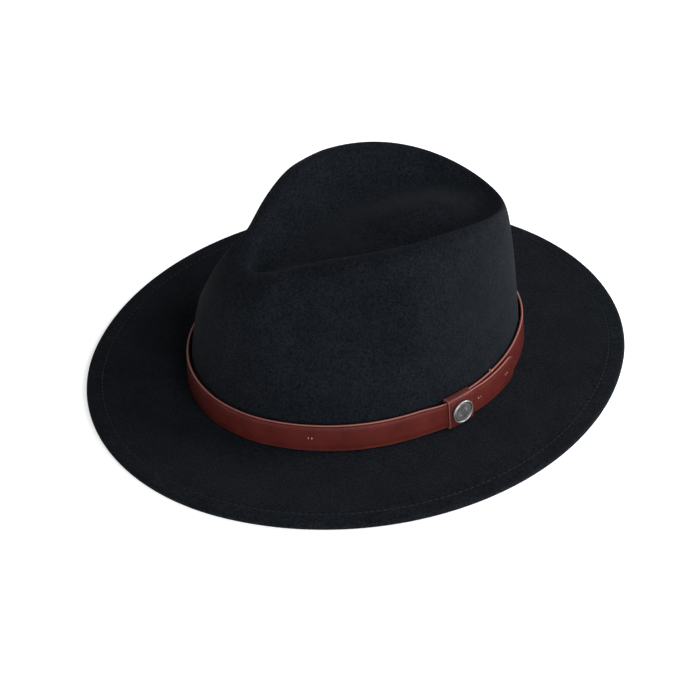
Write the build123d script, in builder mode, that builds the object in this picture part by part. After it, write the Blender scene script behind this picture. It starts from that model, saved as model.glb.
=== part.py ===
from build123d import *
import os
from collections import namedtuple
from math import atan2, cos, degrees, radians, sin

# A wide-brimmed felt fedora with a teardrop crown and a leather hatband, in millimetres.
# The front of the hat is towards -Y, the wearer's left is +X, and +Z is up. The origin is the
# middle of the brim, on the surface that the hat rests on.
#
# Most pieces follow one oval, the outer face of the hatband. A place on the hat is given by "out",
# the distance outward from that oval, and by its height. The oval is four tangent arcs, so every
# ring-shaped piece is made of four revolved pieces.

# Oval of the hatband's outer face
OVAL_HALF_LENGTH = 104.0
OVAL_HALF_WIDTH = 89.0
OVAL_END_RADIUS = 76.0
WALL_LEAN = 0.06  # inward lean of the lower crown wall, per unit of height

# Felt
FELT = 2.4
BRIM_WIDTH = 60.0
BRIM_TOP_AT_CROWN = 3.4
BRIM_TOP_AT_EDGE = 4.1
FOLD_WIDTH = 12.0
EDGE_ROUND = 1.6

# Hatband
STRAP_THICKNESS = 1.4
STRAP_BOTTOM = 5.0
STRAP_TOP = 22.4
STRAP_STANDOFF = 1.3
STRAP_MIDDLE = (STRAP_BOTTOM + STRAP_TOP) / 2
OVERLAP_GAP = 0.15
INNER_END = 6.5  # angles along the left side arc, in degrees from the hat's middle
RAMP_START = -3.0
RAMP_END = 6.0
TAIL_END = 37.0
TACK_ANGLES = (-35.4, 18.0, 31.2)
TACK_THREAD = 0.3
TACK_LENGTH = 2.6
TACK_SINK = 0.1
TAIL_CUTTER = 6.0  # depth of the block that rounds the tail's tip

# Keeper and stud
KEEPER_ANGLE = 10.2
KEEPER_WIDTH = 17.0
KEEPER_LEATHER = 0.8
KEEPER_BACK_LEATHER = 0.7
KEEPER_CLEARANCE = 0.3
STUD_RADIUS = 7.5
STUD_HEIGHT = 2.2
STUD_RIM = 0.9
POST_RADIUS = 1.4
POST_HEAD_RADIUS = 4.0
POST_HEAD = 0.4
STUD_GAP = 0.25  # between the leather and the cap's skirt
STUD_FILLET = 0.7
STUD_FIELD = 0.5  # how deep the face lies inside the rim
SOCKET_DEPTH = 1.2

# Brim wire and edge stitching
WIRE_RADIUS = 0.8
WIRE_OUT = 56.5
WIRE_HEIGHT = 2.1
WIRE_GAP = 1.0
SLEEVE_RADIUS = 1.2
SLEEVE_LENGTH = 14.0
EDGE_SEAM_OUT = 50.5
EDGE_THREAD_RADIUS = 0.3
EDGE_THREAD_LIFT = 0.35

# Sweatband and what lies behind it
SWEATBAND_OUT = -6.7
SWEATBAND = 1.0
SWEATBAND_BOTTOM = 3.0
SWEATBAND_TOP = 35.0
REED_RADIUS = 0.45
REED_LIFT = 0.8
SWEAT_THREAD_RADIUS = 0.25
SWEAT_SEAM_HEIGHT = 6.0
THREAD_CLEARANCE = 0.02
TAPE = 0.5
TAPE_OUT = -5.75
TAPE_BOTTOM = 9.0
TAPE_TOP = 19.0
PAD = 0.25
PAD_LENGTH = 30.0
LABEL_ANGLE = 160.0
LABEL_WIDTH = 18.0
LABEL_BOTTOM = 14.0
LABEL_TOP = 26.0
LABEL_THICKNESS = 0.3

# Bow on the sweatband's back seam
BOW_HEIGHT = 29.0
BOW_STANDOFF = 2.6
BOW_LOOP_LENGTH = 10.0
BOW_LOOP_WIDTH = 5.0
BOW_LOOP_SHIFT = 6.0
BOW_LOOP_THICKNESS = 1.4
BOW_MIDDLE = 4.0
BOW_KNOT_LENGTH = 3.6
BOW_KNOT_WIDTH = 5.6
BOW_KNOT_THICKNESS = 2.0

FELT_OUT = -STRAP_THICKNESS - STRAP_STANDOFF
FELT_IN = FELT_OUT - FELT

# Crown sections, from the brim up: height, half width, y of the widest place, reach to the front
# and its end radius, reach to the rear and its end radius
Section = namedtuple("Section", "height width middle front front_radius rear rear_radius")
CROWN_SECTIONS = (
    Section(2.2, 86.4, 0, 101.4, 73.4, 101.4, 73.4),
    Section(36.0, 84.4, 0, 99.4, 71.0, 99.4, 71.4),
    Section(62.0, 80.5, 2, 96.0, 60.0, 96.5, 66.0),
    Section(84.0, 74.0, 6, 92.0, 42.0, 90.0, 58.0),
    Section(104.0, 67.0, 10, 86.0, 28.0, 80.0, 50.0),
    Section(124.0, 58.0, 14, 80.0, 18.0, 68.0, 42.0),
)
CREST_RADIUS = 130.0  # side profile of the ridge
CREST_MIDDLE = 12.0
CREST_HEIGHT = 113.0
RIDGE_ROUND = 6.0

# The teardrop dent in the top, as two sections and the radius of its arched floor
DENT_RIM = Section(122.0, 50.0, 14, 84.0, 8.0, 68.0, 34.0)
DENT_FOOT = Section(78.0, 26.0, 16, 66.0, 5.0, 50.0, 18.0)
DENT_DEPTH = 24.0

# The side pinches, as spheres that bite into the crown wall
PINCH_RADIUS = 110.0
PINCH_CENTRE = (168.0, -50.0, 106.0)

Arc = namedtuple("Arc", "centre radius start sweep")


def end_arc_offsets(width, reach, end_radius):
    """How far the side arc's centre and the end arc's centre lie from the middle of an oval."""
    end = reach - end_radius
    step = width - end_radius
    side = (end**2 - step**2) / (2 * step)
    return side, end


SIDE_SHIFT, END_SHIFT = end_arc_offsets(OVAL_HALF_WIDTH, OVAL_HALF_LENGTH, OVAL_END_RADIUS)
SIDE_RADIUS = OVAL_HALF_WIDTH + SIDE_SHIFT
SIDE_ANGLE = degrees(atan2(END_SHIFT, SIDE_SHIFT))
LEFT_SIDE = Arc((-SIDE_SHIFT, 0), SIDE_RADIUS, -SIDE_ANGLE, 2 * SIDE_ANGLE)
REAR_END = Arc((0, END_SHIFT), OVAL_END_RADIUS, SIDE_ANGLE, 180 - 2 * SIDE_ANGLE)
RIGHT_SIDE = Arc((SIDE_SHIFT, 0), SIDE_RADIUS, 180 - SIDE_ANGLE, 2 * SIDE_ANGLE)
FRONT_END = Arc((0, -END_SHIFT), OVAL_END_RADIUS, 180 + SIDE_ANGLE, 180 - 2 * SIDE_ANGLE)
OVAL = (LEFT_SIDE, REAR_END, RIGHT_SIDE, FRONT_END)


def part_of(arc, start, end):
    """The stretch of an arc between two angles."""
    return Arc(arc.centre, arc.radius, start, end - start)


def section_plane(arc, angle):
    """The upright plane through an arc's centre: x is the distance from the centre, y is height."""
    across = (cos(radians(angle)), sin(radians(angle)), 0)
    facing = (across[1], -across[0], 0)
    return Plane(origin=(*arc.centre, 0), x_dir=across, z_dir=facing)


def place_on(arc, angle, out, height):
    """The plane that faces outward from the leaning wall at a place on the oval."""
    across = (cos(radians(angle)), sin(radians(angle)))
    distance = arc.radius + out - WALL_LEAN * (height - STRAP_BOTTOM)
    spot = (arc.centre[0] + distance * across[0], arc.centre[1] + distance * across[1], height)
    return Plane(origin=spot, x_dir=(-across[1], across[0], 0), z_dir=(*across, WALL_LEAN))


def polygon_ring(outline, arcs=OVAL):
    """A ring or part of one, whose section is a polygon of (out, height) points."""
    with BuildPart() as ring:
        for arc in arcs:
            with BuildSketch(section_plane(arc, arc.start)):
                with BuildLine():
                    Polyline([(arc.radius + out, height) for out, height in outline], close=True)
                make_face()
            axis = Axis((*arc.centre, 0), (0, 0, 1))
            revolve(axis=axis, revolution_arc=arc.sweep)
    return ring.part


def round_ring(out, height, radius, arcs=OVAL):
    """A ring or part of one with a round section."""
    with BuildPart() as ring:
        for arc in arcs:
            with BuildSketch(section_plane(arc, arc.start)):
                with Locations((arc.radius + out, height)):
                    Circle(radius)
            axis = Axis((*arc.centre, 0), (0, 0, 1))
            revolve(axis=axis, revolution_arc=arc.sweep)
    return ring.part


def leaning_section(out, thickness, bottom, top):
    """A thin upright strip that leans inward with the crown wall; out is its outer face."""
    low = out - WALL_LEAN * (bottom - STRAP_BOTTOM)
    high = out - WALL_LEAN * (top - STRAP_BOTTOM)
    return [(low - thickness, bottom), (low, bottom), (high, top), (high - thickness, top)]


def egg_outline(section, inset):
    """Six tangent arcs: a widest place, a narrower front and a rounder rear."""
    halves = (
        (section.front, section.front_radius, -1),
        (section.rear, section.rear_radius, 1),
    )
    width = section.width - inset
    for reach, end_radius, way in halves:
        side, end = end_arc_offsets(width, reach - inset, end_radius - inset)
        turn = degrees(atan2(end, side))
        for mirror in (1, -1):
            centre = (-mirror * side, section.middle)
            start = 90 - mirror * 90
            CenterArc(centre, width + side, start, way * mirror * turn)
        centre = (0, section.middle + way * end)
        CenterArc(centre, end_radius - inset, way * turn, way * (180 - 2 * turn))


def crown_block(inset, bottom):
    """The solid inside the crown's outer surface, or inside a surface that lies inset within it."""
    base = CROWN_SECTIONS[0]
    spread = WALL_LEAN * (base.height - bottom)
    base = Section(
        bottom,
        base.width + spread,
        base.middle,
        base.front + spread,
        base.front_radius + spread,
        base.rear + spread,
        base.rear_radius + spread,
    )
    crest_axis_height = CREST_HEIGHT - CREST_RADIUS
    across = Plane(origin=(0, CREST_MIDDLE, crest_axis_height), x_dir=(0, 1, 0), z_dir=(1, 0, 0))
    with BuildPart() as dent:
        for section in (DENT_FOOT, DENT_RIM):
            with BuildSketch(Plane.XY.offset(section.height - inset)):
                with BuildLine():
                    egg_outline(section, -inset)
                make_face()
        loft()
        with BuildSketch(across):
            Circle(CREST_RADIUS - DENT_DEPTH - inset)
        extrude(amount=100, both=True, mode=Mode.SUBTRACT)
    with BuildPart() as block:
        for section in (base, *CROWN_SECTIONS[1:]):
            with BuildSketch(Plane.XY.offset(section.height)):
                with BuildLine():
                    egg_outline(section, inset)
                make_face()
        loft()
        with BuildSketch(across):
            Circle(CREST_RADIUS - inset)
        extrude(amount=120, both=True, mode=Mode.INTERSECT)
        ridge = block.faces().sort_by(Axis.Z)[-1].edges()
        fillet(ridge, RIDGE_ROUND)
        add(dent.part, mode=Mode.SUBTRACT)
        for mirror in (1, -1):
            with Locations((mirror * PINCH_CENTRE[0], PINCH_CENTRE[1], PINCH_CENTRE[2])):
                turn = (0, 0, 90 - mirror * 90)
                Sphere(PINCH_RADIUS + inset, rotation=turn, mode=Mode.SUBTRACT)
    return block.part


def felt_hood():
    """Crown and brim in one piece, with a channel for the wire in the folded edge."""
    edge = BRIM_WIDTH
    fold_start = edge - FOLD_WIDTH
    inside = FELT_IN - FELT
    slope = (BRIM_TOP_AT_CROWN - BRIM_TOP_AT_EDGE) / (edge - inside)
    under_fold = BRIM_TOP_AT_CROWN - slope * (fold_start - inside) - FELT
    brim_section = [
        (inside, BRIM_TOP_AT_CROWN - FELT),
        (fold_start, under_fold),
        (fold_start, 0),
        (edge - EDGE_ROUND, 0),
        (edge - EDGE_ROUND / 3, EDGE_ROUND / 3),
        (edge, EDGE_ROUND),
        (edge, BRIM_TOP_AT_EDGE - EDGE_ROUND),
        (edge - EDGE_ROUND / 3, BRIM_TOP_AT_EDGE - EDGE_ROUND / 3),
        (edge - EDGE_ROUND, BRIM_TOP_AT_EDGE),
        (inside, BRIM_TOP_AT_CROWN),
    ]
    wire_channel = round_ring(WIRE_OUT, WIRE_HEIGHT, WIRE_RADIUS)
    sleeve_channel = sleeve_solid(0)
    with BuildPart() as hood:
        add(crown_block(0, CROWN_SECTIONS[0].height))
        add(polygon_ring(brim_section))
        add(crown_block(FELT, -FELT), mode=Mode.SUBTRACT)
        add(wire_channel, mode=Mode.SUBTRACT)
        add(sleeve_channel, mode=Mode.SUBTRACT)
    return hood.part


def sleeve_solid(bore):
    """A short piece of tube at the back of the brim; a bore of 0 leaves it solid."""
    half_turn = degrees(SLEEVE_LENGTH / 2 / (OVAL_END_RADIUS + WIRE_OUT))
    back = [part_of(REAR_END, 90 - half_turn, 90 + half_turn)]
    with BuildPart() as sleeve:
        add(round_ring(WIRE_OUT, WIRE_HEIGHT, SLEEVE_RADIUS, back))
        if bore:
            add(round_ring(WIRE_OUT, WIRE_HEIGHT, bore, back), mode=Mode.SUBTRACT)
    return sleeve.part


def brim_wire():
    """The wire, with a small gap at the back where its two ends meet in the sleeve."""
    half_gap = degrees(WIRE_GAP / 2 / (OVAL_END_RADIUS + WIRE_OUT))
    end_of_rear = REAR_END.start + REAR_END.sweep
    before_gap = part_of(REAR_END, REAR_END.start, 90 - half_gap)
    after_gap = part_of(REAR_END, 90 + half_gap, end_of_rear)
    arcs = [LEFT_SIDE, before_gap, after_gap, RIGHT_SIDE, FRONT_END]
    return round_ring(WIRE_OUT, WIRE_HEIGHT, WIRE_RADIUS, arcs)


def strap_outline(out):
    return leaning_section(out, STRAP_THICKNESS, STRAP_BOTTOM, STRAP_TOP)


def strap_rise(overlap):
    """The stretch where the strap climbs from the wall onto its own inner end."""
    steps = ((RAMP_START, 0), ((RAMP_START + RAMP_END) / 2, overlap / 2), (RAMP_END, overlap))
    with BuildPart() as rise:
        for angle, out in steps:
            with BuildSketch(section_plane(LEFT_SIDE, angle)):
                with BuildLine():
                    outline = [(SIDE_RADIUS + x, y) for x, y in strap_outline(out)]
                    Polyline(outline, close=True)
                make_face()
        loft()
    return rise.part


def strap_tail(overlap):
    """The outer end of the strap, with a round tip."""
    tip_radius = (STRAP_TOP - STRAP_BOTTOM) / 2
    tip_turn = degrees(tip_radius / SIDE_RADIUS)
    with BuildPart() as tail:
        add(polygon_ring(strap_outline(overlap), [part_of(LEFT_SIDE, RAMP_END, TAIL_END)]))
        with BuildSketch(place_on(LEFT_SIDE, TAIL_END - tip_turn, -1, STRAP_MIDDLE)):
            with Locations((tip_radius, 0)):
                Rectangle(2 * tip_radius, 3 * tip_radius)
            Circle(tip_radius, mode=Mode.SUBTRACT)
        extrude(amount=TAIL_CUTTER, mode=Mode.SUBTRACT)
    return tail.part


def hatband_strap():
    """One strap: it starts inside at the left side, goes once round and ends outside in a tail."""
    overlap = STRAP_THICKNESS + OVERLAP_GAP
    once_round = [
        part_of(LEFT_SIDE, INNER_END, SIDE_ANGLE),
        REAR_END,
        RIGHT_SIDE,
        FRONT_END,
        part_of(LEFT_SIDE, -SIDE_ANGLE, RAMP_START),
    ]
    with BuildPart() as strap:
        add(polygon_ring(strap_outline(0), once_round))
        add(strap_rise(overlap))
        add(strap_tail(overlap))
    return strap.part


def band_tacks():
    """Thread tacks through strap and felt: a bar on the strap's face and two legs."""
    overlap = STRAP_THICKNESS + OVERLAP_GAP
    with BuildPart() as tacks:
        for angle in TACK_ANGLES:
            face_out = overlap if angle > RAMP_END else 0
            plane = place_on(LEFT_SIDE, angle, face_out, STRAP_MIDDLE)
            depth = face_out + STRAP_THICKNESS + STRAP_STANDOFF + FELT / 2
            with BuildSketch(plane.offset(-TACK_SINK)):
                SlotOverall(TACK_LENGTH, 2 * TACK_THREAD)
            extrude(amount=TACK_SINK + TACK_THREAD)
            with BuildSketch(plane):
                with Locations((-TACK_LENGTH / 2 + TACK_THREAD, 0), (TACK_LENGTH / 2 - TACK_THREAD, 0)):
                    Circle(TACK_THREAD)
            extrude(amount=-depth)
    return tacks.part


def keeper_arc():
    half = degrees(KEEPER_WIDTH / 2 / SIDE_RADIUS)
    return [part_of(LEFT_SIDE, KEEPER_ANGLE - half, KEEPER_ANGLE + half)]


def keeper_front_out():
    """The inner face of the keeper's front layer, which leaves room for the rivet's head."""
    return STRAP_THICKNESS + OVERLAP_GAP + KEEPER_CLEARANCE + POST_HEAD


def keeper_loop():
    """A leather loop round both layers of the strap, with a hole for the rivet."""
    gap = KEEPER_CLEARANCE
    low, high = STRAP_BOTTOM - gap, STRAP_TOP + gap
    front = keeper_front_out()
    back = -STRAP_THICKNESS - gap
    inner = leaning_section(front, front - back, low, high)
    outer_thickness = front + KEEPER_LEATHER - back + KEEPER_BACK_LEATHER
    outer_low, outer_high = low - KEEPER_LEATHER, high + KEEPER_LEATHER
    outer = leaning_section(front + KEEPER_LEATHER, outer_thickness, outer_low, outer_high)
    hole_plane = stud_plane(front - 1)
    with BuildPart() as loop:
        add(polygon_ring(outer, keeper_arc()))
        add(polygon_ring(inner, keeper_arc()), mode=Mode.SUBTRACT)
        with BuildSketch(hole_plane):
            Circle(POST_RADIUS)
        extrude(amount=3, mode=Mode.SUBTRACT)
    return loop.part


def stud_plane(out):
    """The plane through the stud's middle that leans with the wall."""
    return place_on(LEFT_SIDE, KEEPER_ANGLE, out, STRAP_MIDDLE)


def stud_cap():
    """A round cap with a raised rim, a shallow domed field and a socket for the post."""
    base = stud_plane(keeper_front_out() + KEEPER_LEATHER + STUD_GAP)
    with BuildPart() as cap:
        with BuildSketch(base):
            Circle(STUD_RADIUS)
        extrude(amount=STUD_HEIGHT)
        top = cap.faces().sort_by(Axis(base.origin, base.z_dir))[-1]
        fillet(top.edges(), STUD_FILLET)
        with BuildSketch(base.offset(STUD_HEIGHT)):
            Circle(STUD_RADIUS - STUD_FILLET - STUD_RIM)
        extrude(amount=-STUD_FIELD, mode=Mode.SUBTRACT)
        with BuildSketch(base):
            Circle(POST_RADIUS)
        extrude(amount=SOCKET_DEPTH, mode=Mode.SUBTRACT)
    return cap.part


def stud_post():
    """The rivet's other half: a flat head behind the leather and a shank into the cap."""
    leather_back = keeper_front_out()
    with BuildPart() as post:
        with BuildSketch(stud_plane(leather_back)):
            Circle(POST_HEAD_RADIUS)
        extrude(amount=-POST_HEAD)
        with BuildSketch(stud_plane(leather_back)):
            Circle(POST_RADIUS)
        extrude(amount=KEEPER_LEATHER + STUD_GAP + SOCKET_DEPTH - 0.1)
    return post.part


def ribbon_bow():
    """A flat bow of narrow ribbon on the back seam of the sweatband."""
    plane = place_on(REAR_END, 90, SWEATBAND_OUT - SWEATBAND - BOW_STANDOFF, BOW_HEIGHT)
    with BuildPart() as bow:
        with BuildSketch(plane):
            with Locations((-BOW_LOOP_SHIFT, 0), (BOW_LOOP_SHIFT, 0)):
                RectangleRounded(BOW_LOOP_LENGTH, BOW_LOOP_WIDTH, 2)
            Rectangle(BOW_MIDDLE, BOW_MIDDLE)
        extrude(amount=BOW_LOOP_THICKNESS)
        with BuildSketch(plane):
            RectangleRounded(BOW_KNOT_LENGTH, BOW_KNOT_WIDTH, 1)
        extrude(amount=BOW_KNOT_THICKNESS)
    return bow.part


def pad(out):
    """A hook or loop pad across the middle of the sizing tape."""
    half = degrees(PAD_LENGTH / 2 / (OVAL_END_RADIUS + out))
    outline = leaning_section(out, PAD, TAPE_BOTTOM, TAPE_TOP)
    return polygon_ring(outline, [part_of(REAR_END, 90 - half, 90 + half)])


def size_label():
    """A blank woven label on the inner face of the sweatband, to one side of the back seam."""
    half = degrees(LABEL_WIDTH / 2 / SIDE_RADIUS)
    outline = leaning_section(SWEATBAND_OUT - SWEATBAND, LABEL_THICKNESS, LABEL_BOTTOM, LABEL_TOP)
    return polygon_ring(outline, [part_of(RIGHT_SIDE, LABEL_ANGLE - half, LABEL_ANGLE + half)])


def sweatband():
    return polygon_ring(leaning_section(SWEATBAND_OUT, SWEATBAND, SWEATBAND_BOTTOM, SWEATBAND_TOP))


def size_tape():
    return polygon_ring(leaning_section(TAPE_OUT, TAPE, TAPE_BOTTOM, TAPE_TOP), [REAR_END])


reed_out = (FELT_IN + SWEATBAND_OUT) / 2
edge_seam_height = BRIM_TOP_AT_EDGE + EDGE_THREAD_LIFT
sweat_seam_lean = WALL_LEAN * (SWEAT_SEAM_HEIGHT - STRAP_BOTTOM)
sweat_seam_out = SWEATBAND_OUT - SWEATBAND - sweat_seam_lean - SWEAT_THREAD_RADIUS - THREAD_CLEARANCE
pieces = {
    "felt_body": felt_hood(),
    "brim_edge_thread": round_ring(EDGE_SEAM_OUT, edge_seam_height, EDGE_THREAD_RADIUS),
    "brim_wire": brim_wire(),
    "brim_wire_sleeve": sleeve_solid(WIRE_RADIUS),
    "hatband_strap": hatband_strap(),
    "band_tacks": band_tacks(),
    "keeper_loop": keeper_loop(),
    "stud_cap": stud_cap(),
    "stud_post": stud_post(),
    "sweatband": sweatband(),
    "sweatband_reed": round_ring(reed_out, SWEATBAND_BOTTOM + REED_LIFT, REED_RADIUS),
    "sweatband_thread": round_ring(sweat_seam_out, SWEAT_SEAM_HEIGHT, SWEAT_THREAD_RADIUS),
    "sweatband_bow": ribbon_bow(),
    "size_tape": size_tape(),
    "size_tape_hook_pad": pad(TAPE_OUT + PAD),
    "size_tape_loop_pad": pad(TAPE_OUT + 2 * PAD),
    "size_label": size_label(),
}

os.makedirs("parts", exist_ok=True)
for name, piece in pieces.items():
    piece.label = name
    export_step(piece, "parts/" + name + ".step")
print("side arc radius", round(SIDE_RADIUS, 2), "centre x", round(-SIDE_SHIFT, 2))
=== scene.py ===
"""The looks of the felt fedora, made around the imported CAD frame.

Shapes are worked out in millimetres and turned into metres when a mesh is made. The front of the
hat is -Y, the wearer's left is +X. A place on the hat is given by the angle that its wall faces,
by "out", the distance outward from the hatband's oval, and by its height.
"""
from math import atan2, cos, degrees, hypot, pi, radians, sin

import bmesh
import bpy
import numpy as np
from mathutils import Matrix, Vector


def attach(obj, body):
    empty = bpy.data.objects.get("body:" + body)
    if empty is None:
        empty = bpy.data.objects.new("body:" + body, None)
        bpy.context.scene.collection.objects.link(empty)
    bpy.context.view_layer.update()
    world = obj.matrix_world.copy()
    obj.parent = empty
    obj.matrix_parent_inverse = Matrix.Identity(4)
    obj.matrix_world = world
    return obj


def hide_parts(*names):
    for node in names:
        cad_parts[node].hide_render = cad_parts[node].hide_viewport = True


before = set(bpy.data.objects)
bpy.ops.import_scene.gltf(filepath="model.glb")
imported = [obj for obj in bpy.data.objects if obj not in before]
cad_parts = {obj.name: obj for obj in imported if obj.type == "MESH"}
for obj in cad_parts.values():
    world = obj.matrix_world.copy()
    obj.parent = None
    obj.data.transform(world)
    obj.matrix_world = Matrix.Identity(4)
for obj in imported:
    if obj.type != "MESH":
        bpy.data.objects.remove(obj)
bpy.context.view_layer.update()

MM = 0.001

# The oval of the hatband's outer face
OVAL_HALF_LENGTH = 104.0
OVAL_HALF_WIDTH = 89.0
OVAL_END_RADIUS = 76.0
END_SHIFT = OVAL_HALF_LENGTH - OVAL_END_RADIUS
SIDE_STEP = OVAL_HALF_WIDTH - OVAL_END_RADIUS
SIDE_SHIFT = (END_SHIFT**2 - SIDE_STEP**2) / (2 * SIDE_STEP)
SIDE_RADIUS = OVAL_HALF_WIDTH + SIDE_SHIFT
SIDE_ANGLE = atan2(END_SHIFT, SIDE_SHIFT)
WALL_LEAN = 0.06

# Felt
FELT = 2.4
FELT_OUT = -2.7
BRIM_WIDTH = 60.0
BRIM_TOP_AT_CROWN = 3.4
BRIM_TOP_AT_EDGE = 4.1
FOLD_START = 48.0
EDGE_SEAM_OUT = 50.5
JUNCTION_RADIUS = 2.8
BRIM_WAVE = 0.3
SEAM_GROOVE_DEPTH = 0.45
SEAM_GROOVE_WIDTH = 0.55
FOLD_LIFT = 0.15
UNDERSIDE_SMOOTHINGS = 6
EDGE_STITCH_LENGTH = 2.7
EDGE_STITCH_GAP = 0.9

# Crown: the ridge in plan and in side view, the wall's curve, the dent and the side pinches
RIDGE_HALF_WIDTH = 54.0
RIDGE_MIDDLE = 16.0
RIDGE_FRONT = 81.0
RIDGE_REAR = 77.0
RIDGE_FRONT_POWER = 1.45
RIDGE_REAR_POWER = 2.15
CREST_HEIGHT = 111.0
CREST_MIDDLE = 16.0
CREST_FRONT_RADIUS = 155.0
CREST_REAR_RADIUS = 148.0
WALL_RISE = 0.6
WALL_ROUND = 0.47
DENT_DEPTH = 24.0
DENT_MIDDLE = 22.0
DENT_FRONT_REACH = 104.0
DENT_REAR_REACH = 80.0
SPINE_FRONT = -60.0
SPINE_REAR = 50.0
SLOPE_SIDE = 0.56
SLOPE_FRONT = 1.0
SLOPE_REAR = 0.33
SLOPE_START = 1.12
ISLAND_HEIGHT = 7.0
ISLAND_LENGTH = 40.0
PINCH_DEPTH = 12.5
PINCH_Y = -34.0
PINCH_Z = 84.0
PINCH_FRONT_REACH = 64.0
PINCH_REAR_REACH = 40.0
PINCH_DOWN_REACH = 50.0
PINCH_UP_REACH = 26.0
PINCH_POWER = 2.6
PINCH_STEEPNESS = 1.15
PINCH_INNER = 20.0
PINCH_FADE = 20.0

# Hatband
STRAP_THICKNESS = 1.4
STRAP_BOTTOM = 5.0
STRAP_TOP = 22.4
STRAP_MIDDLE = (STRAP_BOTTOM + STRAP_TOP) / 2
STRAP_HALF = (STRAP_TOP - STRAP_BOTTOM) / 2
OVERLAP = STRAP_THICKNESS + 0.15
INNER_END = 6.5
RAMP_START = -3.0
RAMP_END = 6.0
TAIL_END = 37.0
TAIL_LIFT = 0.7
TAIL_LIFT_START = 15.0
TAIL_LIFT_TURN = 8.0
TAIL_NARROWING = 0.5
STRAP_EDGE = 0.3
STRAP_BULGE = 0.1
CREASE = 1.25
CREASE_DEPTH = 0.14
CREASE_HALF_WIDTH = 0.35
TACK_ANGLES = (-35.4, 18.0, 31.2)
TACK_HALF_LENGTH = 1.0
TACK_THREAD = 0.16
TACK_DIMPLE_DEPTH = 0.38
TACK_DIMPLE_WIDTH = 0.55
EDGE_TACK_ANGLE = 25.5
EDGE_TACK_THREAD = 0.18

# Keeper and stud
KEEPER_ANGLE = 10.2
KEEPER_WIDTH = 17.0
KEEPER_LEATHER = 0.8
KEEPER_GAP = 0.3
KEEPER_BACK = -STRAP_THICKNESS - 0.3
KEEPER_FRONT = OVERLAP + 0.7
STUD_RADIUS = 7.2
STUD_PLATE = 1.6
STUD_GROOVE_RADIUS = 5.95
STUD_BEAD_RADIUS = 5.35
STUD_BEADS = 36
STUD_RING_RADIUS = 4.7
STUD_RAYS = 28

# Inside the crown
SWEATBAND_OUT = -6.7
SWEATBAND = 1.0
SWEATBAND_BOTTOM = 3.0
SWEATBAND_TOP = 35.0
SWEAT_SEAM_HEIGHT = 6.0
TAPE_OUT = -5.75
TAPE = 0.5
TAPE_BOTTOM = 9.0
TAPE_TOP = 19.0
PAD = 0.25
PAD_LENGTH = 30.0
LABEL_ANGLE = 160.0
LABEL_WIDTH = 18.0
LABEL_BOTTOM = 14.0
LABEL_TOP = 26.0
BOW_HEIGHT = 29.0

# Camera
CAMERA_PLACE = (0.8270, -0.4034, 0.7380)
CAMERA_AIM = (0.0, 0.0, 0.002)
CAMERA_ROLL = -2.804
CAMERA_LENS = 100.97
CAMERA_SHIFT = (-0.0102, 0.0040)

# Lights, in metres and watts: name, place, size, power
LIGHTS = (("key", (0.5, 1.25, 1.0), 1.0, 25), ("side", (1.6, -0.1, 0.65), 0.9, 27))
SURROUND_STRENGTH = 0.29
FLOOR_GLOW = 0.56
FLOOR_SIDE = 12


# ---------------------------------------------------------------- places and small sums

def ease(x):
    """0 to 1 with level ends."""
    x = np.clip(x, 0, 1)
    return x * x * (3 - 2 * x)


def on_oval(angle, out):
    """x and y of the place where the wall faces that way, angle in radians."""
    c, s = np.cos(angle), np.sin(angle)
    steep = np.arctan2(np.abs(s), np.abs(c))
    on_side = steep < SIDE_ANGLE
    side, end = SIDE_RADIUS + out, OVAL_END_RADIUS + out
    x = np.where(on_side, -SIDE_SHIFT + side * np.abs(c), end * np.abs(c))
    y = np.where(on_side, side * np.abs(s), END_SHIFT + end * np.abs(s))
    return x * np.sign(c), y * np.sign(s)


def on_wall(angle, out, height):
    """A point beside the leaning wall; the three values may be arrays."""
    x, y = on_oval(angle, out - WALL_LEAN * (height - STRAP_BOTTOM))
    return np.stack(np.broadcast_arrays(x, y, height), -1)


def wall_frame(angle, out, height):
    """Point, direction along the band, direction up the wall and direction out of it."""
    point = on_wall(np.array(angle), np.array(out), np.array(height))
    along = np.array((-sin(angle), cos(angle), 0))
    outward = np.array((cos(angle), sin(angle), WALL_LEAN)) / hypot(1, WALL_LEAN)
    return point, along, np.cross(outward, along) * -1, outward


def path_length(points):
    """Length of a path through points."""
    return float(np.linalg.norm(np.diff(points, axis=0), axis=1).sum())


# ---------------------------------------------------------------- meshes

def grid_faces(rows, columns, wrap_rows=False, wrap_columns=False, first=0):
    """Quads of a grid whose points run row by row."""
    faces = []
    for r in range(rows if wrap_rows else rows - 1):
        for c in range(columns if wrap_columns else columns - 1):
            r2, c2 = (r + 1) % rows, (c + 1) % columns
            faces.append((first + r * columns + c, first + r2 * columns + c,
                          first + r2 * columns + c2, first + r * columns + c2))
    return faces


def make_piece(name, points, faces, body, material, wear_and_painted_light=None, weld=0.0):
    """A smooth mesh object that rides on a body; the optional per-point mask is a value from 0 to 1 at
    each point: worn edges with a painted highlight on leather, patina with painted contact shade on
    metal.
    """
    mesh = bpy.data.meshes.new(name)
    mesh.from_pydata((np.asarray(points) * MM).tolist(), [], faces)
    if wear_and_painted_light is not None:
        layer = mesh.attributes.new("wear_and_painted_light", "FLOAT", "POINT")
        layer.data.foreach_set("value", np.asarray(wear_and_painted_light, dtype=np.float32).ravel())
    work = bmesh.new()
    work.from_mesh(mesh)
    if weld:
        bmesh.ops.remove_doubles(work, verts=work.verts, dist=weld * MM)
    bmesh.ops.recalc_face_normals(work, faces=work.faces)
    for face in work.faces:
        face.smooth = True
    work.to_mesh(mesh)
    work.free()
    mesh.materials.append(material)
    piece = bpy.data.objects.new(name, mesh)
    bpy.context.scene.collection.objects.link(piece)
    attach(piece, body)
    return piece


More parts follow.
